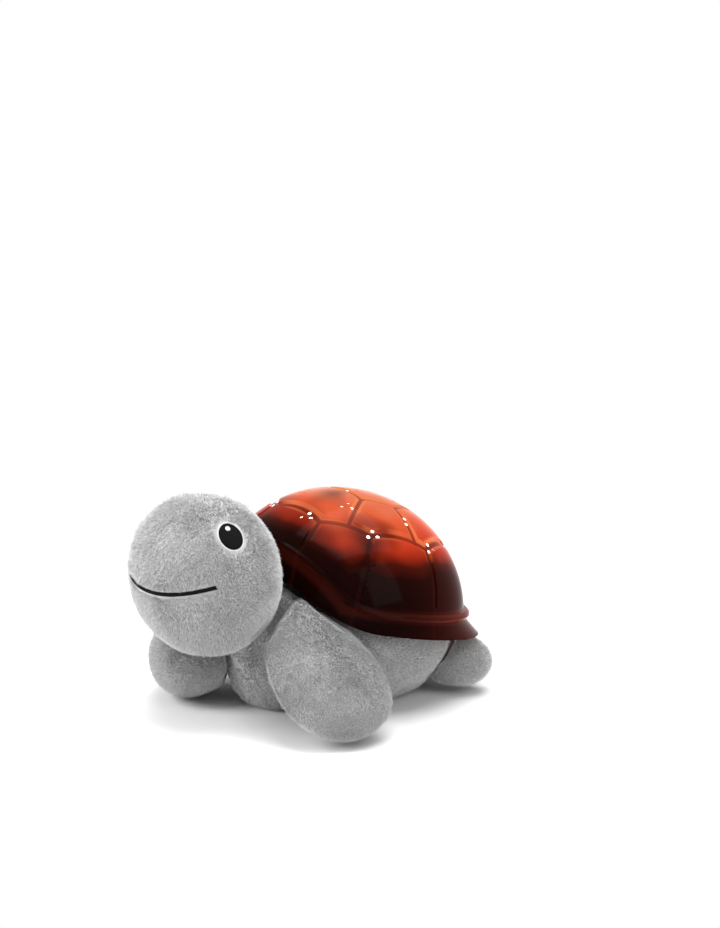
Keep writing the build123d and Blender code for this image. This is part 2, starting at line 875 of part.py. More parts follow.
# Body of the plush: cut to the rim line, to the tub and clear of the nodding head
body = body_form(0)
well = round_block(
    tub_half_width + fit_clear,
    tub_half_length + fit_clear,
    tub_corner + fit_clear,
    tall + overrun,
    tub_mid_y,
    -overrun / 2,
)
nod_axis = Axis((0, neck_y, neck_z), (1, 0, 0))
head_room = head_form(soft_clear)
body -= well
body -= tipped(above_rim(-soft_clear))
for angle in (-nod_up_angle, 0, nod_down_angle):
    body -= head_room.rotate(nod_axis, angle)
body = largest(body)

# Head, trimmed clear of the shell as it nods
lip_radius = shell_radius + lip_flare + soft_clear
shell_room = rod(lip_radius, shell_depth + shell_rise, 0, skirt_shift, -shell_depth)
shell_room &= above_rim(-soft_clear)
bead_room_low = bead_low * (1 - flare_shares[2]) - soft_clear
shell_room += dome_form(-bead_proud - soft_clear) & above_rim(bead_room_low)
shell_room = tipped(shell_room)
head = head_form(0)
for angle in (-nod_up_angle, 0, nod_down_angle):
    head -= shell_room.rotate(nod_axis, -angle)
head = largest(head)

# Limbs, trimmed clear of the body, the shell and the nodding head over their swing
limb_rooms = [body_form(soft_clear), shell_room]


# Flat wall that the nodding head never passes, faced along a turn and a dip
def head_wall(turn, dip):
    way = Vector(cos(turn) * cos(dip), sin(turn) * cos(dip), -sin(dip))
    neck = Vector(0, neck_y, neck_z)
    middle = Vector(0, head_y, head_z) - neck
    reaches = []
    for angle in (-nod_up_angle, 0, nod_down_angle):
        seen = way.rotate(Axis.X, -angle)
        half = Vector(
            head_half_width * seen.X, head_half_depth * seen.Y, head_half_height * seen.Z
        )
        reaches.append(way.dot(neck) + seen.dot(middle) + half.length)
    face = Plane(origin=way * (max(reaches) + soft_clear + nod_spare), z_dir=way)
    return face * block(big, big, big, z=-big)


left_wall = head_wall(radians(left_wall_turn_angle), radians(left_wall_dip_angle))
right_wall = head_wall(radians(right_wall_turn_angle), radians(right_wall_dip_angle))


def limb(root, sweep, droop, swing, sizes, tables, rooms):
    form = limb_form(root, radians(sweep), radians(droop), *sizes, tables)
    axis = Axis(root, (0, 0, 1))
    for angle in (-swing, 0, swing):
        for room in rooms:
            form -= room.rotate(axis, angle)
    return largest(form)


left_sizes = (left_length, left_half_width, left_half_thick)
right_sizes = (right_length, right_half_width, right_half_thick)
front_tables = (front_station_shares, front_width_shares, front_thick_shares)
rear_sizes = (rear_length, rear_half_width, rear_half_thick)
rear_tables = (rear_station_shares, rear_width_shares, rear_thick_shares)
left_shoulder = Vector(left_shoulder_x, left_shoulder_y, left_shoulder_z)
right_shoulder = Vector(-right_shoulder_x, right_shoulder_y, right_shoulder_z)
left_root = Vector(rear_root_x, rear_root_y, rear_root_z)
right_root = Vector(-rear_root_x, rear_root_y, rear_root_z)
left_forms = (front_swing_angle, left_sizes, front_tables, limb_rooms + [left_wall])
right_forms = (front_swing_angle, right_sizes, front_tables, limb_rooms + [right_wall])
rear_forms = (rear_swing_angle, rear_sizes, rear_tables, limb_rooms)
front_left = limb(left_shoulder, -left_sweep_angle, left_droop_angle, *left_forms)
front_right = limb(right_shoulder, 180 + right_sweep_angle, right_droop_angle, *right_forms)
rear_left = limb(left_root, rear_sweep_angle, rear_droop_angle, *rear_forms)
rear_right = limb(right_root, 180 - rear_sweep_angle, rear_droop_angle, *rear_forms)

# Face: raised satin stitching that follows the head
face_skin = head_form(stitch_height) - head_form(0)
glint_skin = head_form(stitch_height + glint_height) - head_form(stitch_height)


def eye_plane(side):
    point = Vector(side * eye_side, head_y - eye_forward, head_z + eye_up)
    normal = Vector(
        side * eye_side / head_half_width**2,
        -eye_forward / head_half_depth**2,
        eye_up / head_half_height**2,
    )
    level = Vector(0, 0, 1).cross(normal)
    return Plane(origin=point, x_dir=level, z_dir=normal) * Rot(0, 0, side * eye_lean_angle)


def eye_prism(side, grow):
    face = oval(eye_half_width + grow, eye_half_height + grow)
    return extrude(eye_plane(side) * face, eye_half_height, both=True)


def eye_pieces(side):
    dark = largest(face_skin & eye_prism(side, 0))
    rim = largest((face_skin & eye_prism(side, eye_rim_width)) - eye_prism(side, 0))
    spot = Pos(-side * glint_shift, glint_rise, 0) * Circle(glint_radius)
    glint = largest(glint_skin & extrude(eye_plane(side) * spot, eye_half_height, both=True))
    return dark, rim, glint


mouth_bow = mouth_end_rise + mouth_mid_drop
mouth_radius = (mouth_left_reach**2 + mouth_bow**2) / (2 * mouth_bow)


def mouth_point(x, shift):
    rise = mouth_radius - sqrt(mouth_radius**2 - x**2)
    return x, head_z - mouth_mid_drop + rise + shift


low_points = [mouth_point(x, -mouth_thick / 2) for x in (-mouth_right_reach, 0, mouth_left_reach)]
high_points = [mouth_point(x, mouth_thick / 2) for x in (-mouth_right_reach, 0, mouth_left_reach)]
mouth_face = make_face(
    [
        ThreePointArc(*low_points),
        Line(low_points[-1], high_points[-1]),
        ThreePointArc(*reversed(high_points)),
        Line(high_points[0], low_points[0]),
    ]
)
front_plane = Plane(origin=(0, head_y, 0), x_dir=(1, 0, 0), z_dir=(0, -1, 0))
mouth = largest(face_skin & extrude(front_plane * mouth_face, head_half_depth + overrun))

eye_left, eye_rim_left, eye_glint_left = eye_pieces(1)
eye_right, eye_rim_right, eye_glint_right = eye_pieces(-1)

nodes = {
    "plush_body": body,
    "plush_head": head,
    "eye_left": eye_left,
    "eye_right": eye_right,
    "eye_rim_left": eye_rim_left,
    "eye_rim_right": eye_rim_right,
    "eye_glint_left": eye_glint_left,
    "eye_glint_right": eye_glint_right,
    "mouth_stitch": mouth,
    "front_flipper_left": front_left,
    "front_flipper_right": front_right,
    "rear_flipper_left": rear_left,
    "rear_flipper_right": rear_right,
    "shell_dome": tipped(shell),
    "light_windows": Compound(windows),
    "light_deck": tipped(deck),
    "base_tub": tub,
    "flange_screws": Compound(flange_screws),
    "dome_screws": Compound(dome_screws),
    "lamp_board": tipped(lamp_board),
    "lamp_amber": lamp(90),
    "lamp_green": lamp(210),
    "lamp_blue": lamp(330),
    "key_board": tipped(key_board),
    "tact_switches": Compound(tacts),
    "light_button": push_button(1),
    "melody_button": push_button(-1),
    "main_board": main_board,
    "board_chips": Compound(chips),
    "board_screws": Compound(board_screws),
    "speaker_frame": speaker_frame,
    "speaker_magnet": magnet,
    "speaker_cone": speaker_cone,
    "cells": Compound(cells),
    "cell_contacts": Compound(contacts),
    "battery_door": door,
    "door_screw": door_screw,
    "switch_body": switch_body,
    "power_switch": knob,
    "volume_pot": pot,
    "volume_wheel": wheel,
}
for name, shape in nodes.items():
    export_step(shape, os.path.join("parts", name + ".step"))
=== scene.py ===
import bpy
import bmesh
from math import asin, cos, pi, radians, sin, sqrt, tan
from mathutils import Matrix, Vector
from mathutils.bvhtree import BVHTree


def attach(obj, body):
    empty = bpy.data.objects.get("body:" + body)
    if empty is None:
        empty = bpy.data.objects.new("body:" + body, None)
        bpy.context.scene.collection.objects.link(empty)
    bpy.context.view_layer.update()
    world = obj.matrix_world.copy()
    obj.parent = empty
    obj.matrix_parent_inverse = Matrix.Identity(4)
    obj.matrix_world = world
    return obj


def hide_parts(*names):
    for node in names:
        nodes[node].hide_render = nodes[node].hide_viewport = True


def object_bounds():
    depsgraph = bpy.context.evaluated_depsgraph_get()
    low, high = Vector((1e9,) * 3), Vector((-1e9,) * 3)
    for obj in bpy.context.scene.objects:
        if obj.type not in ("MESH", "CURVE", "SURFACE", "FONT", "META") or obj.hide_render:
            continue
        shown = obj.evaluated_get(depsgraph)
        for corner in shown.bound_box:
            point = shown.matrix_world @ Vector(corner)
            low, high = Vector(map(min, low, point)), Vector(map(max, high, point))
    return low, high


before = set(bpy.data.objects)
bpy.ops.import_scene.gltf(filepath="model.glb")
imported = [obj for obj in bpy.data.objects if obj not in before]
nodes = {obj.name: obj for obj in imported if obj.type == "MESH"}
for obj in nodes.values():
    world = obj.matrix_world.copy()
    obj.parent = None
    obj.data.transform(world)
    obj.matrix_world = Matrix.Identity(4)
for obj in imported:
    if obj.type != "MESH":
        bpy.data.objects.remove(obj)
cad_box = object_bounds()
scene = bpy.context.scene
scene.view_settings.view_transform = "Standard"
MM = 0.001


def mm(*values):
    return Vector(values) * MM


# Values shared with the solids
head_middle = mm(0, -53.5, 86.6)
head_half = mm(49, 39.5, 46)
neck = mm(0, -18, 66)
limb_roots = {
    "front_flipper_left": mm(25.6, -14.3, 64.7),
    "front_flipper_right": mm(-16, -2, 56),
    "rear_flipper_left": mm(32, 80, 21),
    "rear_flipper_right": mm(-32, 80, 21),
}
limb_nodes = tuple(limb_roots)
hard_nodes = ("shell_dome", "base_tub")
face_nodes = ("eye_left", "eye_right", "eye_rim_left", "eye_rim_right", "mouth_stitch")
shell_middle = mm(0, 48.4, 65.0)
shell_tilt = radians(19.6)
shell_up = Vector((0, sin(shell_tilt), cos(shell_tilt)))
shell_back = Vector((0, cos(shell_tilt), -sin(shell_tilt)))
rim_corner = (-44.9 * MM, -24.3 * MM)
rim_slopes = (tan(radians(7.4)), -tan(radians(44)))
bead_height = 11.7 * MM
plate_ring, plate_turns = 53.5 * MM, (24, 57, 98, 148)
crown_ring, crown_turns = 25.0 * MM, (42, 90, 138)
channel_half = 2.2 * MM

# Each soft joint's pivot, axis and angles at both ends and at rest
unmoved = (Vector(), "X", (0,))
travels = {"plush_head": (neck, "X", (-4, 0, 10))}
for node, root in limb_roots.items():
    swing = 10 if node.startswith("front") else 8
    travels[node] = (root, "Z", (-swing, 0, swing))


def new_piece(name, mesh):
    piece = bpy.data.objects.new(name, mesh)
    scene.collection.objects.link(piece)
    return piece


def evaluated_mesh(piece):
    bpy.context.view_layer.update()
    graph = bpy.context.evaluated_depsgraph_get()
    return bpy.data.meshes.new_from_object(piece.evaluated_get(graph))


def bake_modifiers(piece):
    mesh = evaluated_mesh(piece)
    piece.modifiers.clear()
    piece.data = mesh


def dress(mesh, material):
    mesh.materials.clear()
    mesh.materials.append(material)


def smooth_faces(mesh):
    mesh.polygons.foreach_set("use_smooth", [True] * len(mesh.polygons))


# Short hands for shader nodes
def shader_group(name, inputs, outputs):
    group = bpy.data.node_groups.new(name, "ShaderNodeTree")
    for label, kind, value in inputs:
        socket = group.interface.new_socket(label, in_out="INPUT", socket_type=kind)
        socket.default_value = value
    for label, kind in outputs:
        group.interface.new_socket(label, in_out="OUTPUT", socket_type=kind)
    start = group.nodes.new("NodeGroupInput")
    end = group.nodes.new("NodeGroupOutput")
    return group, start, end


def add(tree, kind, **settings):
    node = tree.nodes.new(kind)
    for key, value in settings.items():
        setattr(node, key, value)
    return node


def feed(tree, socket, value):
    if isinstance(value, (int, float)):
        socket.default_value = value
    elif isinstance(value, tuple):
        socket.default_value = (*value, 1)
    else:
        tree.links.new(value, socket)


def math_node(tree, operation, first, second=None, third=None, clamp=False):
    node = add(tree, "ShaderNodeMath", operation=operation, use_clamp=clamp)
    for index, value in enumerate((first, second, third)):
        if value is not None:
            feed(tree, node.inputs[index], value)
    return node.outputs[0]


def mix_colour(tree, factor, first, second, blend="MIX"):
    node = add(tree, "ShaderNodeMix", data_type="RGBA", blend_type=blend)
    for index, value in ((0, factor), (6, first), (7, second)):
        feed(tree, node.inputs[index], value)
    return node.outputs[2]


def noise_node(tree, vector, scale, detail=3.0, rough=0.55):
    node = add(tree, "ShaderNodeTexNoise")
    tree.links.new(vector, node.inputs["Vector"])
    for label, value in (("Scale", scale), ("Detail", detail), ("Roughness", rough)):
        feed(tree, node.inputs[label], value)
    return node.outputs["Fac"]


def spread(tree, value, low, high):
    node = add(tree, "ShaderNodeMapRange")
    tree.links.new(value, node.inputs["Value"])
    node.inputs["From Min"].default_value = low
    node.inputs["From Max"].default_value = high
    return node.outputs["Result"]


def scaled(tree, colour, factor):
    node = add(tree, "ShaderNodeVectorMath", operation="SCALE")
    tree.links.new(colour, node.inputs[0])
    tree.links.new(factor, node.inputs["Scale"])
    return node.outputs[0]


def dot_node(tree, vector, axis):
    node = add(tree, "ShaderNodeVectorMath", operation="DOT_PRODUCT")
    tree.links.new(vector, node.inputs[0])
    node.inputs[1].default_value = axis
    return node.outputs["Value"]


def least(tree, values):
    found = values[0]
    for value in values[1:]:
        found = math_node(tree, "MINIMUM", found, value)
    return found


def most(tree, values):
    found = values[0]
    for value in values[1:]:
        found = math_node(tree, "MAXIMUM", found, value)
    return found


def object_place(tree):
    return add(tree, "ShaderNodeTexCoord").outputs["Object"]


# Rays for which the studio is plain white
def seen_directly(tree):
    path = add(tree, "ShaderNodeLightPath")
    labels = ("Is Camera Ray", "Is Glossy Ray", "Is Transmission Ray")
    return most(tree, [path.outputs[label] for label in labels])


# Node groups that several finishes share
def grain_group():
    group, start, end = shader_group(
        "moulded_grain",
        (
            ("Scale", "NodeSocketFloat", 900.0),
            ("Mottle", "NodeSocketFloat", 0.12),
            ("Colour", "NodeSocketColor", (0.5, 0.5, 0.5, 1)),
            ("Rough", "NodeSocketFloat", 0.5),
        ),
        (
            ("Colour", "NodeSocketColor"),
            ("Roughness", "NodeSocketFloat"),
            ("Height", "NodeSocketFloat"),
        ),
    )
    mottle_scale, rough_swing = 60.0, 0.25
    place = object_place(group)
    fine = noise_node(group, place, start.outputs["Scale"], 2.0)
    broad = noise_node(group, place, mottle_scale, 4.0)
    swing = math_node(group, "SUBTRACT", broad, 0.5)
    shade = math_node(group, "MULTIPLY_ADD", swing, start.outputs["Mottle"], 1.0)
    tone = scaled(group, start.outputs["Colour"], shade)
    rough = math_node(
        group, "MULTIPLY_ADD", swing, rough_swing, start.outputs["Rough"], clamp=True
    )
    group.links.new(tone, end.inputs["Colour"])
    group.links.new(rough, end.inputs["Roughness"])
    group.links.new(fine, end.inputs["Height"])
    return group


def pile_tone_group():
    group, start, end = shader_group(
        "pile_tone",
        (
            ("Light", "NodeSocketColor", (0.6, 0.6, 0.6, 1)),
            ("Dark", "NodeSocketColor", (0.35, 0.35, 0.35, 1)),
        ),
        (("Colour", "NodeSocketColor"), ("Height", "NodeSocketFloat")),
    )
    tuft_share, clump_share, sweep_share = 0.6, 0.5, 0.25
    dark_below, light_above = 0.42, 0.92
    place = object_place(group)
    tuft = noise_node(group, place, 900.0, 3.0, 0.7)
    clump = noise_node(group, place, 260.0, 3.0, 0.6)
    sweep = noise_node(group, place, 45.0, 2.0)
    grain = math_node(group, "MULTIPLY", clump, clump_share)
    grain = math_node(group, "MULTIPLY_ADD", tuft, tuft_share, grain)
    grain = math_node(group, "MULTIPLY_ADD", sweep, sweep_share, grain)
    mask = spread(group, grain, dark_below, light_above)
    colour = mix_colour(group, mask, start.outputs["Dark"], start.outputs["Light"])
    group.links.new(colour, end.inputs["Colour"])
    group.links.new(grain, end.inputs["Height"])
    return group


moulded_grain = grain_group()
pile_tone = pile_tone_group()


# Finishes: each constant is set on the shader's own socket
def finish(name, **sockets):
    material = bpy.data.materials.new(name)
    material.use_nodes = True
    shader = material.node_tree.nodes["Principled BSDF"]
    for label, value in sockets.items():
        shader.inputs[label.replace("_", " ")].default_value = value
    return material, material.node_tree, shader


def bump(tree, shader, height, strength, distance):
    node = add(tree, "ShaderNodeBump")
    node.inputs["Strength"].default_value = strength
    node.inputs["Distance"].default_value = distance
    tree.links.new(height, node.inputs["Height"])
    tree.links.new(node.outputs["Normal"], shader.inputs["Normal"])


def moulded(name, colour, rough, scale=900.0, mottle=0.12, raised=0.15, **sockets):
    material, tree, shader = finish(name, **sockets)
    grain = add(tree, "ShaderNodeGroup", node_tree=moulded_grain)
    grain.inputs["Scale"].default_value = scale
    grain.inputs["Mottle"].default_value = mottle
    grain.inputs["Colour"].default_value = (*colour, 1)
    grain.inputs["Rough"].default_value = rough
    tree.links.new(grain.outputs["Colour"], shader.inputs["Base Color"])
    tree.links.new(grain.outputs["Roughness"], shader.inputs["Roughness"])
    bump(tree, shader, grain.outputs["Height"], raised, 0.0004)
    return material


def pile_tones(tree, light, dark):
    tone = add(tree, "ShaderNodeGroup", node_tree=pile_tone)
    tone.inputs["Light"].default_value = (*light, 1)
    tone.inputs["Dark"].default_value = (*dark, 1)
    return tone.outputs["Colour"], tone.outputs["Height"]


def plush_finish(name, light, dark, raised):
    material, tree, shader = finish(
        name, Roughness=0.95, Sheen_Weight=0.25, Sheen_Roughness=0.5, Specular_IOR_Level=0.15
    )
    colour, height = pile_tones(tree, light, dark)
    tree.links.new(colour, shader.inputs["Base Color"])
    bump(tree, shader, height, raised, 1.2 * MM)
    return material


# Hairs carry painted shade at the root that fades to their own tone towards the tip, and no two
# are quite alike
def pile_finish(name, light, dark, root):
    material, tree, shader = finish(
        name, Roughness=0.9, Sheen_Weight=0.3, Sheen_Roughness=0.4, Specular_IOR_Level=0.2
    )
    shaded_root_share = 0.7
    colour = pile_tones(tree, light, dark)[0]
    own = add(tree, "ShaderNodeAttribute", attribute_name="tone").outputs["Fac"]
    tip = add(tree, "ShaderNodeAttribute", attribute_name="tip").outputs["Fac"]
    strand = mix_colour(tree, own, dark, colour)
    grown = spread(tree, tip, 0.0, shaded_root_share)
    tree.links.new(mix_colour(tree, grown, root, strand), shader.inputs["Base Color"])
    return material


def thread_finish(name, colour, rough, gleam):
    material, tree, shader = finish(name, Roughness=rough, Specular_IOR_Level=gleam)
    fibre_scale, fibre_dark = 2600.0, 0.75
    fibre = noise_node(tree, object_place(tree), fibre_scale, 2.0)
    shaded = mix_colour(tree, fibre, tuple(c * fibre_dark for c in colour), colour)
    tree.links.new(shaded, shader.inputs["Base Color"])
    bump(tree, shader, fibre, 0.3, 0.0002)
    return material


def lens_finish(name, colour, strength):
    material, tree, shader = finish(
        name, Roughness=0.15, Emission_Strength=strength, Specular_IOR_Level=0.5
    )
    haze_scale, haze_dark = 700.0, 0.8
    haze = noise_node(tree, object_place(tree), haze_scale, 2.0)
    warm = mix_colour(tree, haze, tuple(c * haze_dark for c in colour), colour)
    tree.links.new(warm, shader.inputs["Base Color"])
    tree.links.new(warm, shader.inputs["Emission Color"])
    return material


# Shell: dark red plastic, lit from inside above its lower plates; that light is painted on as
# glow by height, not shone through the plastic
glow_wander = 30 * MM
glow_heights = (20 * MM, 72 * MM)
glow_steps = (
    (0.0, (0.0006, 0.0001, 0.0001)),
    (0.2, (0.004, 0.0004, 0.0002)),
    (0.32, (0.06, 0.004, 0.001)),
    (0.44, (0.4, 0.024, 0.006)),
    (0.62, (0.7, 0.06, 0.018)),
    (0.82, (0.8, 0.12, 0.042)),
    (1.0, (0.86, 0.3, 0.17)),
)
# Painted shade in the glow: clouds that deepen towards the head
glow_shade_lean, glow_shade_limits = 4.5, (0.14, 0.42)
glow_shade_swing, glow_shade_floor = 0.85, 0.15
# Painted highlights in patches along the channels' lips
lip_width, lip_heights = (1.5 * MM, 0.2 * MM), (0.3, 0.62)
lip_patches, lip_strength = (0.42, 0.6), 0.8
# Painted shade along the channels' floors
channel_edge, channel_shade = (1.6 * MM, 0.9 * MM), 0.55
# Reach of the painted rear glow and bead highlight towards the rear
rear_reach, rear_power = (-30 * MM, 75 * MM), 2.2
# Width of the bead's painted highlight
bead_highlight_edge = (4.5 * MM, 1.5 * MM)
unlit = (0.0, 0.0, 0.0)
# Painted shade colour of the channel floors, then the painted highlight colour of their lips
channel_shade_red = (0.012, 0.0015, 0.0006)
lip_highlight_orange = (0.93, 0.24, 0.085)
# Colours of the painted rear glow and of the bead's painted highlight, front and rear
rear_glow_red = (0.1, 0.009, 0.0035)
bead_highlight_front, bead_highlight_rear = (0.02, 0.0022, 0.0012), (0.2, 0.022, 0.009)
plastic_dark, plastic_pale = (0.002, 0.0003, 0.0002), (0.01, 0.0012, 0.0006)
smear_swing, smear_least = 0.1, 0.08


# Signed distance to a ring of channels, from its corners' turns about the crown
def ring_distance(tree, flat, radius, turns):
    sides = []
    for low, high in zip((-turns[0], *turns), (*turns, 360 - turns[-1])):
        middle, half = radians((low + high) / 2), radians((high - low) / 2)
        away = dot_node(tree, flat, (sin(middle), -cos(middle), 0))
        sides.append(math_node(tree, "SUBTRACT", away, radius * cos(half)))
    return most(tree, sides)


def spoke_distance(tree, flat, turns):
    sides = []
    for turn in turns:
        away = dot_node(tree, flat, (cos(radians(turn)), sin(radians(turn)), 0))
        sides.append(math_node(tree, "ABSOLUTE", away))
    return least(tree, sides)


def kept_where(tree, distance, *outside):
    for value in outside:
        beyond = math_node(tree, "GREATER_THAN", value, 0.0)
        distance = math_node(tree, "ADD", distance, beyond)
    return distance


def channel_distance(tree, flat):
    plates = ring_distance(tree, flat, plate_ring, plate_turns)
    crown = ring_distance(tree, flat, crown_ring, crown_turns)
    inside_plates = math_node(tree, "MULTIPLY", plates, -1.0)
    inside_crown = math_node(tree, "MULTIPLY", crown, -1.0)
    lower = kept_where(tree, spoke_distance(tree, flat, plate_turns), inside_plates)
    upper = kept_where(tree, spoke_distance(tree, flat, crown_turns), plates, inside_crown)
    rings = [math_node(tree, "ABSOLUTE", ring) for ring in (plates, crown)]
    return least(tree, [*rings, lower, upper])


def height_over_rim(tree, back, rise):
    behind = math_node(tree, "SUBTRACT", back, rim_corner[0])
    slopes = [math_node(tree, "MULTIPLY", behind, slope) for slope in rim_slopes]
    over_corner = math_node(tree, "SUBTRACT", rise, rim_corner[1])
    return math_node(tree, "SUBTRACT", over_corner, most(tree, slopes))


# The painted glow's colour by height, with painted shade in clouds that deepen towards the head
def glow_colour(tree, place, back, height):
    glow = add(tree, "ShaderNodeValToRGB")
    tree.links.new(height, glow.inputs["Fac"])
    ramp = glow.color_ramp
    ramp.elements[0].color = (*glow_steps[0][1], 1)
    ramp.elements[1].color = (*glow_steps[-1][1], 1)
    for position, colour in glow_steps[1:-1]:
        ramp.elements.new(position).color = (*colour, 1)
    glow_shade_clouds = noise_node(tree, place, 32.0, 1.0, 0.5)
    glow_shade_clouds = math_node(tree, "ADD", glow_shade_clouds, math_node(tree, "MULTIPLY", back, glow_shade_lean))
    glow_shade_clouds = spread(tree, glow_shade_clouds, *glow_shade_limits)
    glow_shade_clouds = math_node(tree, "MULTIPLY_ADD", glow_shade_clouds, glow_shade_swing, glow_shade_floor)
    return scaled(tree, glow.outputs["Color"], glow_shade_clouds)


# Channels get painted shade along their floors and painted highlights in patches along their
# lips
def channel_shade_and_highlight(tree, place, height, groove, lit):
    shade = spread(tree, groove, *channel_edge)
    shade = math_node(tree, "MULTIPLY", shade, channel_shade)
    dimmed = mix_colour(tree, shade, lit, channel_shade_red)
    lip = math_node(tree, "ABSOLUTE", math_node(tree, "SUBTRACT", groove, channel_half))
    edge = spread(tree, lip, *lip_width)
    edge = math_node(tree, "MULTIPLY", edge, spread(tree, height, *lip_heights))
    patch = spread(tree, noise_node(tree, place, 34.0, 1.0), *lip_patches)
    patch = math_node(tree, "MULTIPLY", patch, lip_strength)
    return mix_colour(tree, math_node(tree, "MULTIPLY", edge, patch), dimmed, lip_highlight_orange)


# Painted glow on the lower rear of the shell, and a painted highlight along the bead above its
# skirt, brighter at the rear
def rear_glow_and_bead_highlight(tree, back, above, lit):
    rear = math_node(tree, "POWER", spread(tree, back, *rear_reach), rear_power)
    bead_highlight_mask = math_node(tree, "ABSOLUTE", math_node(tree, "SUBTRACT", above, bead_height))
    bead_highlight_mask = spread(tree, bead_highlight_mask, *bead_highlight_edge)
    warm = mix_colour(tree, rear, unlit, rear_glow_red)
    bead_highlight = mix_colour(tree, bead_highlight_mask, unlit, mix_colour(tree, rear, bead_highlight_front, bead_highlight_rear))
    lit = mix_colour(tree, 1.0, lit, warm, "ADD")
    return mix_colour(tree, 1.0, lit, bead_highlight, "ADD")


def shell_finish():
    material, tree, shader = finish(
        "shell_plastic",
        Coat_Weight=0.015,
        Coat_Roughness=0.08,
        Specular_IOR_Level=0.012,
        Emission_Strength=1.0,
    )
    place = object_place(tree)
    offset = add(tree, "ShaderNodeVectorMath", operation="SUBTRACT")
    tree.links.new(place, offset.inputs[0])
    offset.inputs[1].default_value = shell_middle
    side = math_node(tree, "ABSOLUTE", dot_node(tree, offset.outputs[0], (1, 0, 0)))
    back = dot_node(tree, offset.outputs[0], shell_back)
    rise = dot_node(tree, offset.outputs[0], shell_up)
    flat = add(tree, "ShaderNodeCombineXYZ")
    tree.links.new(side, flat.inputs[0])
    tree.links.new(back, flat.inputs[1])
    groove = channel_distance(tree, flat.outputs[0])
    above = height_over_rim(tree, back, rise)

    cloud = math_node(tree, "SUBTRACT", noise_node(tree, place, 22.0, 2.0, 0.5), 0.5)
    wave = math_node(tree, "MULTIPLY", cloud, glow_wander)
    height = spread(tree, math_node(tree, "ADD", above, wave), *glow_heights)
    lit = glow_colour(tree, place, back, height)
    lit = channel_shade_and_highlight(tree, place, height, groove, lit)
    lit = rear_glow_and_bead_highlight(tree, back, above, lit)
    tree.links.new(lit, shader.inputs["Emission Color"])

    streak = noise_node(tree, place, 18.0, 4.0, 0.6)
    plastic = mix_colour(tree, streak, plastic_dark, plastic_pale)
    tree.links.new(plastic, shader.inputs["Base Color"])
    smear = noise_node(tree, place, 120.0, 4.0)
    rough = math_node(tree, "MULTIPLY_ADD", smear, smear_swing, smear_least)
    tree.links.new(rough, shader.inputs["Roughness"])
    return material


plush = plush_finish("grey_plush", (0.62, 0.62, 0.62), (0.4, 0.4, 0.4), raised=0.35)
# root: painted shade at the hairs' roots
pile_hair = pile_finish(
    "grey_pile", light=(1.0, 1.0, 0.995), dark=(0.54, 0.54, 0.54), root=(0.25, 0.25, 0.25)
)
black_thread = thread_finish("black_thread", (0.006, 0.006, 0.006), rough=0.6, gleam=0.05)
white_thread = thread_finish("white_thread", (0.82, 0.82, 0.81), rough=0.6, gleam=0.3)
base_grey = moulded("base_grey", (0.3, 0.3, 0.31), 0.5, scale=1600.0, mottle=0.1, raised=0.25)
inner_white = moulded("inner_white", (0.74, 0.73, 0.7), 0.45)
board_green = moulded("board_green", (0.03, 0.16, 0.075), 0.35, scale=500.0, mottle=0.3)
black_plastic = moulded("black_plastic", (0.03, 0.03, 0.032), 0.4, scale=1300.0, mottle=0.2)
knob_black = moulded("knob_black", (0.055, 0.055, 0.06), 0.5, scale=1300.0, mottle=0.2)
button_rubber = moulded("button_rubber", (0.62, 0.6, 0.58), 0.7, scale=2000.0, mottle=0.08)
screw_steel = moulded(
    "screw_steel", (0.6, 0.6, 0.6), 0.28, scale=700.0, mottle=0.2, raised=0.1, Metallic=1.0
)
contact_nickel = moulded(
    "contact_nickel", (0.72, 0.7, 0.66), 0.2, scale=700.0, mottle=0.15, raised=0.1, Metallic=1.0
)
basket_metal = moulded(
    "basket_metal", (0.07, 0.07, 0.075), 0.4, scale=900.0, mottle=0.2, raised=0.15, Metallic=0.6
)
magnet_iron = moulded(
    "magnet_iron", (0.3, 0.3, 0.31), 0.35, scale=500.0, mottle=0.3, raised=0.2, Metallic=1.0
)
cone_paper = moulded("cone_paper", (0.05, 0.05, 0.05), 0.85, scale=700.0, mottle=0.3, raised=0.5)
cell_sleeve = moulded(
    "cell_sleeve", (0.09, 0.095, 0.1), 0.3, scale=400.0, mottle=0.15, raised=0.05
)
materials = {
    "shell_dome": shell_finish(),
    "light_windows": lens_finish("window_light", (1.0, 0.78, 0.66), 2.0),
    "lamp_amber": lens_finish("lamp_amber_lens", (1.0, 0.42, 0.08), 1.5),
    "lamp_green": lens_finish("lamp_green_lens", (0.15, 0.8, 0.22), 1.0),
    "lamp_blue": lens_finish("lamp_blue_lens", (0.12, 0.3, 0.95), 1.0),
    "light_deck": inner_white,
    "base_tub": base_grey,
    "battery_door": base_grey,
    "flange_screws": screw_steel,
    "dome_screws": screw_steel,
    "board_screws": screw_steel,
    "door_screw": screw_steel,
    "lamp_board": board_green,
    "key_board": board_green,
    "main_board": board_green,
    "board_chips": black_plastic,
    "tact_switches": black_plastic,
    "switch_body": black_plastic,
    "volume_pot": black_plastic,
    "light_button": button_rubber,
    "melody_button": button_rubber,
    "speaker_frame": basket_metal,
    "speaker_magnet": magnet_iron,
    "speaker_cone": cone_paper,
    "cells": cell_sleeve,
    "cell_contacts": contact_nickel,
    "power_switch": knob_black,
    "volume_wheel": knob_black,
}
for node, material in materials.items():
    dress(nodes[node].data, material)


# Stuffed pieces: the solid's form, remeshed, rounded and blown up by the filling
sim_frames = 20
sim_quality = 5
filling_pressure = 4.0
held_gap = 2.5 * MM
passing_gap = 7 * MM
skin_inset = 0.15 * MM
seam_half = 1.5 * MM
# The share of a neighbour's travel that the body's pile leaves free: hairs give way to the rest
pile_give = 0.3
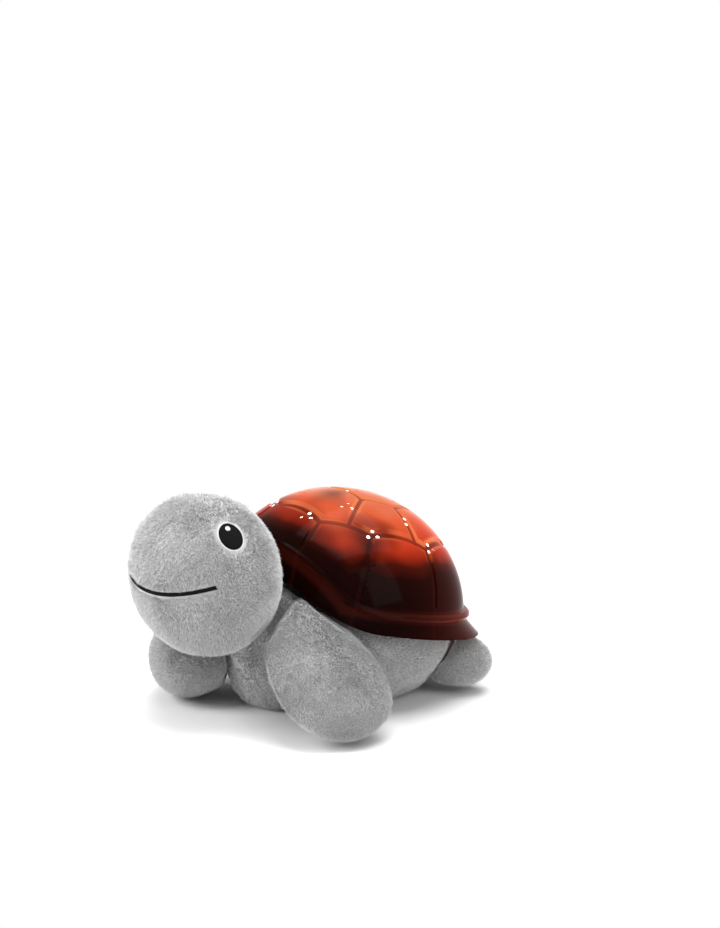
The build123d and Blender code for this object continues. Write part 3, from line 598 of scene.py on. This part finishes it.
# Where pile begins, and over what distance it reaches its full length
room_beside = (0.2 * MM, 3.2 * MM)
room_by_stitching = (0.5 * MM, 1.2 * MM)
room_over_floor = (0.8 * MM, 3.0 * MM)


def merged_copy(node):
    mesh = nodes[node].data.copy()
    form = bmesh.new()
    form.from_mesh(mesh)
    bmesh.ops.remove_doubles(form, verts=form.verts, dist=0.02 * MM)
    form.to_mesh(mesh)
    form.free()
    mesh.materials.clear()
    return mesh


def soften(mesh, rounds):
    form = bmesh.new()
    form.from_mesh(mesh)
    for _ in range(rounds):
        bmesh.ops.smooth_vert(
            form, verts=form.verts, factor=0.5, use_axis_x=True, use_axis_y=True, use_axis_z=True
        )
    form.to_mesh(mesh)
    form.free()


def surface_of(mesh):
    return BVHTree.FromPolygons(
        [vertex.co for vertex in mesh.vertices], [face.vertices for face in mesh.polygons]
    )


def gap_to(trees, point, reach=4 * MM):
    gaps = [tree.find_nearest(point, reach)[3] for tree in trees]
    return min((gap for gap in gaps if gap is not None), default=reach)


def turned(node, angle):
    pivot, axis = travels.get(node, unmoved)[:2]
    middle = Matrix.Translation(pivot)
    return middle @ Matrix.Rotation(radians(angle), 4, axis) @ middle.inverted()


# Neighbours as they stand at the ends of each joint's travel, seen from a piece
def travel_surfaces(node, neighbours):
    found = []
    give = pile_give if node == "plush_body" else 1.0
    for other in neighbours:
        mesh = nodes[other].data
        faces = [face.vertices for face in mesh.polygons]
        for own in travels.get(node, unmoved)[2]:
            for angle in travels.get(other, unmoved)[2]:
                place = turned(node, own).inverted() @ turned(other, angle * give)
                spots = [place @ vertex.co for vertex in mesh.vertices]
                found.append(BVHTree.FromPolygons(spots, faces))
    return found


# Keep the skin inside its solid where a neighbour passes close by
def clear_neighbours(mesh, solid, trees):
    for vertex in mesh.vertices:
        if gap_to(trees, vertex.co, passing_gap) < passing_gap:
            spot, normal = solid.find_nearest(vertex.co)[:2]
            if (vertex.co - spot).dot(normal) > -skin_inset:
                vertex.co = spot - normal * skin_inset


def fill(piece, limit, held_at):
    held = piece.vertex_groups.new(name="held")
    for vertex in piece.data.vertices:
        if held_at(vertex.co):
            held.add([vertex.index], 1.0, "REPLACE")
    cloth = piece.modifiers.new("filling", "CLOTH")
    cloth.settings.use_pressure = True
    cloth.settings.uniform_pressure_force = filling_pressure
    cloth.settings.vertex_group_mass = "held"
    cloth.settings.effector_weights.gravity = 0.0
    cloth.settings.quality = sim_quality
    cloth.point_cache.frame_start = 1
    cloth.point_cache.frame_end = sim_frames
    start = [vertex.co.copy() for vertex in piece.data.vertices]
    for step in range(1, sim_frames + 1):
        scene.frame_set(step)
    grown = evaluated_mesh(piece)
    piece.modifiers.remove(cloth)
    scene.frame_set(1)
    for vertex, before, after in zip(piece.data.vertices, start, grown.vertices):
        move = after.co - before
        if move.length > limit:
            move *= limit / move.length
        vertex.co = before + move
    bpy.data.meshes.remove(grown)


# How far the pile may stand at each point: short beside a neighbour, the stitching and the floor
def pile_room(mesh, trees, stitched):
    store = mesh.attributes.new("pile", "FLOAT", "POINT")
    for vertex, slot in zip(mesh.vertices, store.data):
        shares = [1.0]
        for gap, (least_gap, rise) in (
            (gap_to(trees, vertex.co), room_beside),
            (gap_to(stitched, vertex.co), room_by_stitching),
            (vertex.co.z, room_over_floor),
        ):
            shares.append((gap - least_gap) / rise)
        slot.value = max(0.0, min(shares))


def stuffed(name, node, body, voxel, rounds, swell, seam, neighbours, sewn=()):
    piece = new_piece(name, merged_copy(node))
    solid = surface_of(piece.data)
    remesh = piece.modifiers.new("skin", "REMESH")
    remesh.mode = "VOXEL"
    remesh.voxel_size = voxel
    bake_modifiers(piece)
    soften(piece.data, rounds)
    trees = [surface_of(nodes[other].data) for other in neighbours]
    stitched = [surface_of(nodes[other].data) for other in sewn]
    fill(piece, swell, lambda co: seam(co) or gap_to(trees, co) < held_gap)
    clear_neighbours(piece.data, solid, trees)
    finer = piece.modifiers.new("finer", "SUBSURF")
    finer.levels = 1
    finer.render_levels = 1
    bake_modifiers(piece)
    smooth_faces(piece.data)
    dress(piece.data, plush)
    pile_room(piece.data, travel_surfaces(node, neighbours), stitched)
    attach(piece, body)
    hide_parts(node)
    return piece


# A limb's seam runs round it in the plane of its flat side
def limb_seam(root, sweep, droop):
    along = Vector((cos(droop) * cos(sweep), cos(droop) * sin(sweep), -sin(droop)))
    flat = along.cross(Vector((-sin(sweep), cos(sweep), 0)))
    return lambda co: abs((co - root).dot(flat)) < seam_half


# The belly's seam runs round it a little above the floor
def belly_seam(co):
    return co.z < 3 * MM or abs(co.z - 9 * MM) < 2 * MM


head = stuffed(
    "head_plush",
    "plush_head",
    "head",
    voxel=4.0 * MM,
    rounds=4,
    swell=1.5 * MM,
    seam=lambda co: False,
    neighbours=("plush_body", "shell_dome", *limb_nodes[:2]),
    sewn=face_nodes,
)
body = stuffed(
    "body_plush",
    "plush_body",
    "body",
    voxel=4.0 * MM,
    rounds=3,
    swell=1.2 * MM,
    seam=belly_seam,
    neighbours=("plush_head", *limb_nodes, *hard_nodes),
)
limbs = {}
for node, sweep, droop, swell in (
    ("front_flipper_left", -5, 36.6, 1.4 * MM),
    ("front_flipper_right", 228, 37.6, 1.4 * MM),
    ("rear_flipper_left", 50, 6, 1.0 * MM),
    ("rear_flipper_right", 130, 6, 1.0 * MM),
):
    kind, limb, hand = node.split("_")
    name = limb + "_" + kind + "_" + hand
    limbs[name] = stuffed(
        name + "_plush",
        node,
        name,
        voxel=3.0 * MM,
        rounds=3,
        swell=swell,
        seam=limb_seam(limb_roots[node], radians(sweep), radians(droop)),
        neighbours=("plush_body", "plush_head", *hard_nodes),
    )


# Short pile: fine closed hairs that lie with the nap, each with its own tone
hair_radius = 0.24 * MM
hair_sizes = (0.65, 1.15)
hair_stray = 0.3
least_room = 0.08
# Scale and strength of the broad sweeps and of the small tufts
nap_swirls = ((40.0, 1.6), (330.0, 1.5))


def pile_group(name, density, seed, length, nap):
    group = bpy.data.node_groups.new(name, "GeometryNodeTree")
    group.interface.new_socket("Geometry", in_out="INPUT", socket_type="NodeSocketGeometry")
    group.interface.new_socket("Geometry", in_out="OUTPUT", socket_type="NodeSocketGeometry")
    link = group.links.new

    def vector_node(operation, first, second):
        node = add(group, "ShaderNodeVectorMath", operation=operation)
        for socket, value in zip(node.inputs, (first, second)):
            if isinstance(value, tuple):
                socket.default_value = value
            else:
                link(value, socket)
        return node.outputs[0]

    def random_value(kind, low, high, extra):
        node = add(group, "FunctionNodeRandomValue", data_type=kind)
        node.inputs["Seed"].default_value = seed + extra
        at = 0 if kind == "FLOAT_VECTOR" else 2
        node.inputs[at].default_value = low
        node.inputs[at + 1].default_value = high
        return node.outputs[at // 2]

    def swirl(scale, strength):
        node = add(group, "ShaderNodeTexNoise")
        node.inputs["Scale"].default_value = scale
        node.inputs["Detail"].default_value = 1.0
        centred = vector_node("SUBTRACT", node.outputs["Color"], (0.5, 0.5, 0.5))
        return vector_node("MULTIPLY", centred, (strength, strength, strength))

    def stored(geometry, label, domain, value):
        node = add(group, "GeometryNodeStoreNamedAttribute", data_type="FLOAT", domain=domain)
        node.inputs["Name"].default_value = label
        link(geometry, node.inputs["Geometry"])
        link(value, node.inputs["Value"])
        return node.outputs["Geometry"]

    start = add(group, "NodeGroupInput")
    end = add(group, "NodeGroupOutput")
    room = add(group, "GeometryNodeInputNamedAttribute", data_type="FLOAT")
    room.inputs["Name"].default_value = "pile"
    amount = room.outputs["Attribute"]
    scatter = add(group, "GeometryNodeDistributePointsOnFaces", distribute_method="RANDOM")
    scatter.inputs["Seed"].default_value = seed
    scatter.inputs["Density"].default_value = density
    link(start.outputs[0], scatter.inputs["Mesh"])
    link(math_node(group, "GREATER_THAN", amount, least_room), scatter.inputs["Selection"])

    hair = add(group, "GeometryNodeMeshCone", fill_type="NGON")
    hair.inputs["Vertices"].default_value = 3
    hair.inputs["Radius Top"].default_value = 0.0
    hair.inputs["Radius Bottom"].default_value = hair_radius
    hair.inputs["Depth"].default_value = length
    along = add(group, "ShaderNodeSeparateXYZ")
    link(add(group, "GeometryNodeInputPosition").outputs[0], along.inputs[0])
    reach = math_node(group, "DIVIDE", along.outputs["Z"], length)
    strand = stored(hair.outputs["Mesh"], "tip", "POINT", reach)

    way = vector_node("ADD", scatter.outputs["Normal"], nap)
    for scale, strength in nap_swirls:
        way = vector_node("ADD", way, swirl(scale, strength))
    stray = random_value("FLOAT_VECTOR", (-hair_stray,) * 3, (hair_stray,) * 3, 1)
    aim = add(group, "FunctionNodeAlignRotationToVector", axis="Z")
    link(vector_node("ADD", way, stray), aim.inputs["Vector"])
    plant = add(group, "GeometryNodeInstanceOnPoints")
    link(scatter.outputs["Points"], plant.inputs["Points"])
    link(strand, plant.inputs["Instance"])
    link(aim.outputs[0], plant.inputs["Rotation"])
    size = random_value("FLOAT", *hair_sizes, 2)
    link(math_node(group, "MULTIPLY", size, amount), plant.inputs["Scale"])
    toned = stored(plant.outputs[0], "tone", "INSTANCE", random_value("FLOAT", 0.0, 1.0, 3))
    grown = add(group, "GeometryNodeRealizeInstances")
    link(toned, grown.inputs[0])
    link(grown.outputs[0], end.inputs[0])
    return group


def grow_pile(name, piece, body, density, seed, length, nap):
    roots = new_piece(name, piece.data.copy())
    planting = roots.modifiers.new("pile", "NODES")
    planting.node_group = pile_group(name, density, seed, length, nap)
    bake_modifiers(roots)
    for label in ("pile", "UVMap"):
        if label in roots.data.attributes:
            roots.data.attributes.remove(roots.data.attributes[label])
    dress(roots.data, pile_hair)
    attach(roots, body)


down_the_head = (0.0, 0.25, -0.75)
along_the_body = (0.0, 0.7, -0.35)
for half in (1, 2):
    name = "head_pile_" + str(half)
    grow_pile(name, head, "head", 1.75e6, 10 + half, 2.7 * MM, down_the_head)
    name = "body_pile_" + str(half)
    grow_pile(name, body, "body", 1.2e6, 20 + half, 2.6 * MM, along_the_body)
for seed, name, nap in (
    (31, "flipper_front_left", (0.75, -0.2, -0.55)),
    (32, "flipper_front_right", (-0.6, -0.45, -0.55)),
    (33, "flipper_rear_left", (0.5, 0.6, -0.25)),
    (34, "flipper_rear_right", (-0.5, 0.6, -0.25)),
):
    grow_pile(name + "_pile", limbs[name], name, 3.0e6, seed, 2.8 * MM, nap)


# Embroidery: satin stitches laid on the head
head_skin = surface_of(head.data)
skin_search = 0.05
before_face = -0.13
eye_place = mm(35.3, -7.5, 30.7)
eye_lean = radians(9)
eye_half = (6.9 * MM, 8.7 * MM)
glint_half = 1.6 * MM
glint_up, glint_aside = 4.6 * MM, 0.3 * MM
satin_steps = 8
border_profile = ((-0.2, 0.2), (0.3, 1), (0.7, 1), (1.2, 0))
mouth_reach = (-25 * MM, 40 * MM)
mouth_bow = 8.0 * MM
mouth_drop = 4.0 * MM
mouth_profile = ((-0.5, 0.1), (-0.3, 0.85), (0, 1), (0.3, 0.85), (0.5, 0.1))
mouth_stretch = 1.25


def on_head(point, towards):
    start = point - towards * skin_search
    found = head_skin.ray_cast(start, towards)
    if found[0] is None:
        found = head_skin.find_nearest(point)
    return found[0], found[1]


def stitches(name, runs, radius, material, node):
    thread = bpy.data.curves.new(name, "CURVE")
    thread.dimensions = "3D"
    thread.bevel_depth = radius
    thread.bevel_resolution = 1
    thread.use_fill_caps = True
    for run in runs:
        spline = thread.splines.new("POLY")
        spline.points.add(len(run) - 1)
        for point, place in zip(spline.points, run):
            point.co = (*place, 1)
    guide = new_piece(name + "_guide", thread)
    piece = new_piece(name, evaluated_mesh(guide))
    bpy.data.objects.remove(guide)
    dress(piece.data, material)
    smooth_faces(piece.data)
    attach(piece, "head")
    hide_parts(node)


def eye_axes(side):
    out = Vector((side * eye_place.x, eye_place.y, eye_place.z))
    normal = Vector([o / half**2 for o, half in zip(out, head_half)]).normalized()
    level = Vector((0, 0, 1)).cross(normal).normalized()
    across = Matrix.Rotation(eye_lean * side, 3, normal) @ level
    return head_middle + out, across, normal.cross(across), normal


def eye_point(side, u, v, lift):
    middle, across, up, normal = eye_axes(side)
    skin = on_head(middle + across * u + up * v, -normal)[0]
    return skin + normal * lift


# Level stitches across an oval, bowed up by their padding
def satin(side, at_u, at_v, half_u, half_v, pitch, lift, crown):
    runs = []
    count = int(2 * half_v / pitch)
    for i in range(count + 1):
        v = -half_v + 2 * half_v * i / count
        reach = half_u * sqrt(max(0.0, 1 - (v / half_v) ** 2))
        if reach < pitch:
            continue
        run = []
        for k in range(satin_steps + 1):
            s = -1 + 2 * k / satin_steps
            bow = crown * (1 - (v / half_v) ** 2) * (1 - s * s)
            run.append(eye_point(side, at_u + reach * s, at_v + v, lift * (1 - s**6) + bow))
        runs.append(run)
    return runs


# Short stitches set across an oval's edge
def border(side, half_u, half_v, width, pitch, lift):
    runs = []
    count = int(pi * (half_u + half_v) / pitch)
    for i in range(count):
        turn = 2 * pi * i / count
        run = []
        for share, rise in border_profile:
            u = (half_u + width * share) * cos(turn)
            v = (half_v + width * share) * sin(turn)
            run.append(eye_point(side, u, v, lift * rise))
        runs.append(run)
    return runs


# Short stitches set across the smile's arc
def mouth_runs(thick, pitch, lift):
    runs = []
    radius = (mouth_reach[1] ** 2 + mouth_bow**2) / (2 * mouth_bow)
    low = head_middle.z - mouth_drop
    first, last = [asin(reach / radius) for reach in mouth_reach]
    count = int(radius * (last - first) * mouth_stretch / pitch)
    for i in range(count + 1):
        turn = first + (last - first) * i / count
        run = []
        for share, rise in mouth_profile:
            r = radius - thick * share
            place = Vector((r * sin(turn), before_face, low + radius - r * cos(turn)))
            skin, out = on_head(place, Vector((0, 1, 0)))
            run.append(skin + out * lift * rise)
        runs.append(run)
    return runs


for side, hand in ((1, "left"), (-1, "right")):
    stitches(
        "eye_" + hand + "_satin",
        satin(side, 0, 0, *eye_half, pitch=0.4 * MM, lift=0.5 * MM, crown=0.8 * MM),
        0.27 * MM,
        black_thread,
        "eye_" + hand,
    )
    stitches(
        "eye_rim_" + hand + "_satin",
        border(side, *eye_half, width=0.5 * MM, pitch=0.36 * MM, lift=0.6 * MM),
        0.2 * MM,
        white_thread,
        "eye_rim_" + hand,
    )
    glint = (-side * glint_aside, glint_up, glint_half, glint_half)
    stitches(
        "eye_glint_" + hand + "_satin",
        satin(side, *glint, pitch=0.36 * MM, lift=1.35 * MM, crown=0.5 * MM),
        0.24 * MM,
        white_thread,
        "eye_glint_" + hand,
    )
stitches(
    "mouth_satin",
    mouth_runs(thick=2.0 * MM, pitch=0.42 * MM, lift=0.9 * MM),
    0.27 * MM,
    black_thread,
    "mouth_stitch",
)


# Floor: pale and matt around the part, plain white beyond
floor_half = 6.0
floor_pale = (0.86, 0.86, 0.86, 1)
fade_middle = (0.02, 0.02, 0)
fade_reach = (0.16, 0.34)


def floor_finish():
    material = bpy.data.materials.new("pale_floor")
    material.use_nodes = True
    tree = material.node_tree
    tree.nodes.clear()
    out = add(tree, "ShaderNodeOutputMaterial")
    matt = add(tree, "ShaderNodeBsdfDiffuse")
    matt.inputs["Color"].default_value = floor_pale
    white = add(tree, "ShaderNodeEmission")
    white.inputs["Strength"].default_value = 1.0
    far = add(tree, "ShaderNodeVectorMath", operation="DISTANCE")
    tree.links.new(object_place(tree), far.inputs[0])
    far.inputs[1].default_value = fade_middle
    fade = spread(tree, far.outputs["Value"], *fade_reach)
    mix = add(tree, "ShaderNodeMixShader")
    tree.links.new(math_node(tree, "MULTIPLY", fade, seen_directly(tree)), mix.inputs[0])
    tree.links.new(matt.outputs[0], mix.inputs[1])
    tree.links.new(white.outputs[0], mix.inputs[2])
    tree.links.new(mix.outputs[0], out.inputs["Surface"])
    return material


def floor_piece():
    form = bmesh.new()
    bmesh.ops.create_grid(form, x_segments=2, y_segments=2, size=floor_half)
    mesh = bpy.data.meshes.new("floor")
    form.to_mesh(mesh)
    form.free()
    floor = new_piece("floor", mesh)
    dress(mesh, floor_finish())
    return floor


floor = floor_piece()
floor.data.transform(Matrix.Translation((0, 0, min(0.0, cad_box[0][2]))))


# Light: three soft boxes in a white studio
studio_light, white_beyond = 0.32, 0.68


def softbox(name, place, aim, size, power):
    lamp = bpy.data.lights.new(name, "AREA")
    lamp.shape = "RECTANGLE"
    lamp.size, lamp.size_y = size
    lamp.energy = power
    box = bpy.data.objects.new(name, lamp)
    scene.collection.objects.link(box)
    box.location = place
    box.rotation_euler = (Vector(aim) - Vector(place)).to_track_quat("-Z", "Y").to_euler()


softbox("left_box", (-0.55, -1.0, 0.75), (0, 0, 0.06), (0.7, 0.9), power=19)
softbox("right_box", (1.1, 0.25, 0.8), (0, 0.03, 0.06), (0.7, 0.9), power=5.5)
softbox("top_box", (0.0, 0.25, 1.3), (0, 0.02, 0.05), (1.2, 1.2), power=26)

world = bpy.data.worlds.new("studio")
scene.world = world
world.use_nodes = True
tree = world.node_tree
back = tree.nodes["Background"]
back.inputs["Color"].default_value = (1, 1, 1, 1)
strength = math_node(tree, "MULTIPLY_ADD", seen_directly(tree), white_beyond, studio_light)
tree.links.new(strength, back.inputs["Strength"])

# Camera at the photograph's viewing angle
image_width = 720
pixels_per_mm = 1.72
shift_pixels = (40, 146)
sensor = 36.0
aim = mm(0, 30, 50)
azimuth, elevation, distance = radians(52), radians(16), 3.0
eye = aim + distance * Vector(
    (sin(azimuth) * cos(elevation), -cos(azimuth) * cos(elevation), sin(elevation))
)
lens = bpy.data.cameras.new("camera")
lens.sensor_fit = "HORIZONTAL"
lens.sensor_width = sensor
lens.lens = sensor * pixels_per_mm * distance * 1000 / image_width
lens.shift_x, lens.shift_y = [pixels / image_width for pixels in shift_pixels]
camera = bpy.data.objects.new("camera", lens)
scene.collection.objects.link(camera)
camera.location = eye
camera.rotation_euler = (aim - eye).to_track_quat("-Z", "Y").to_euler()
scene.camera = camera
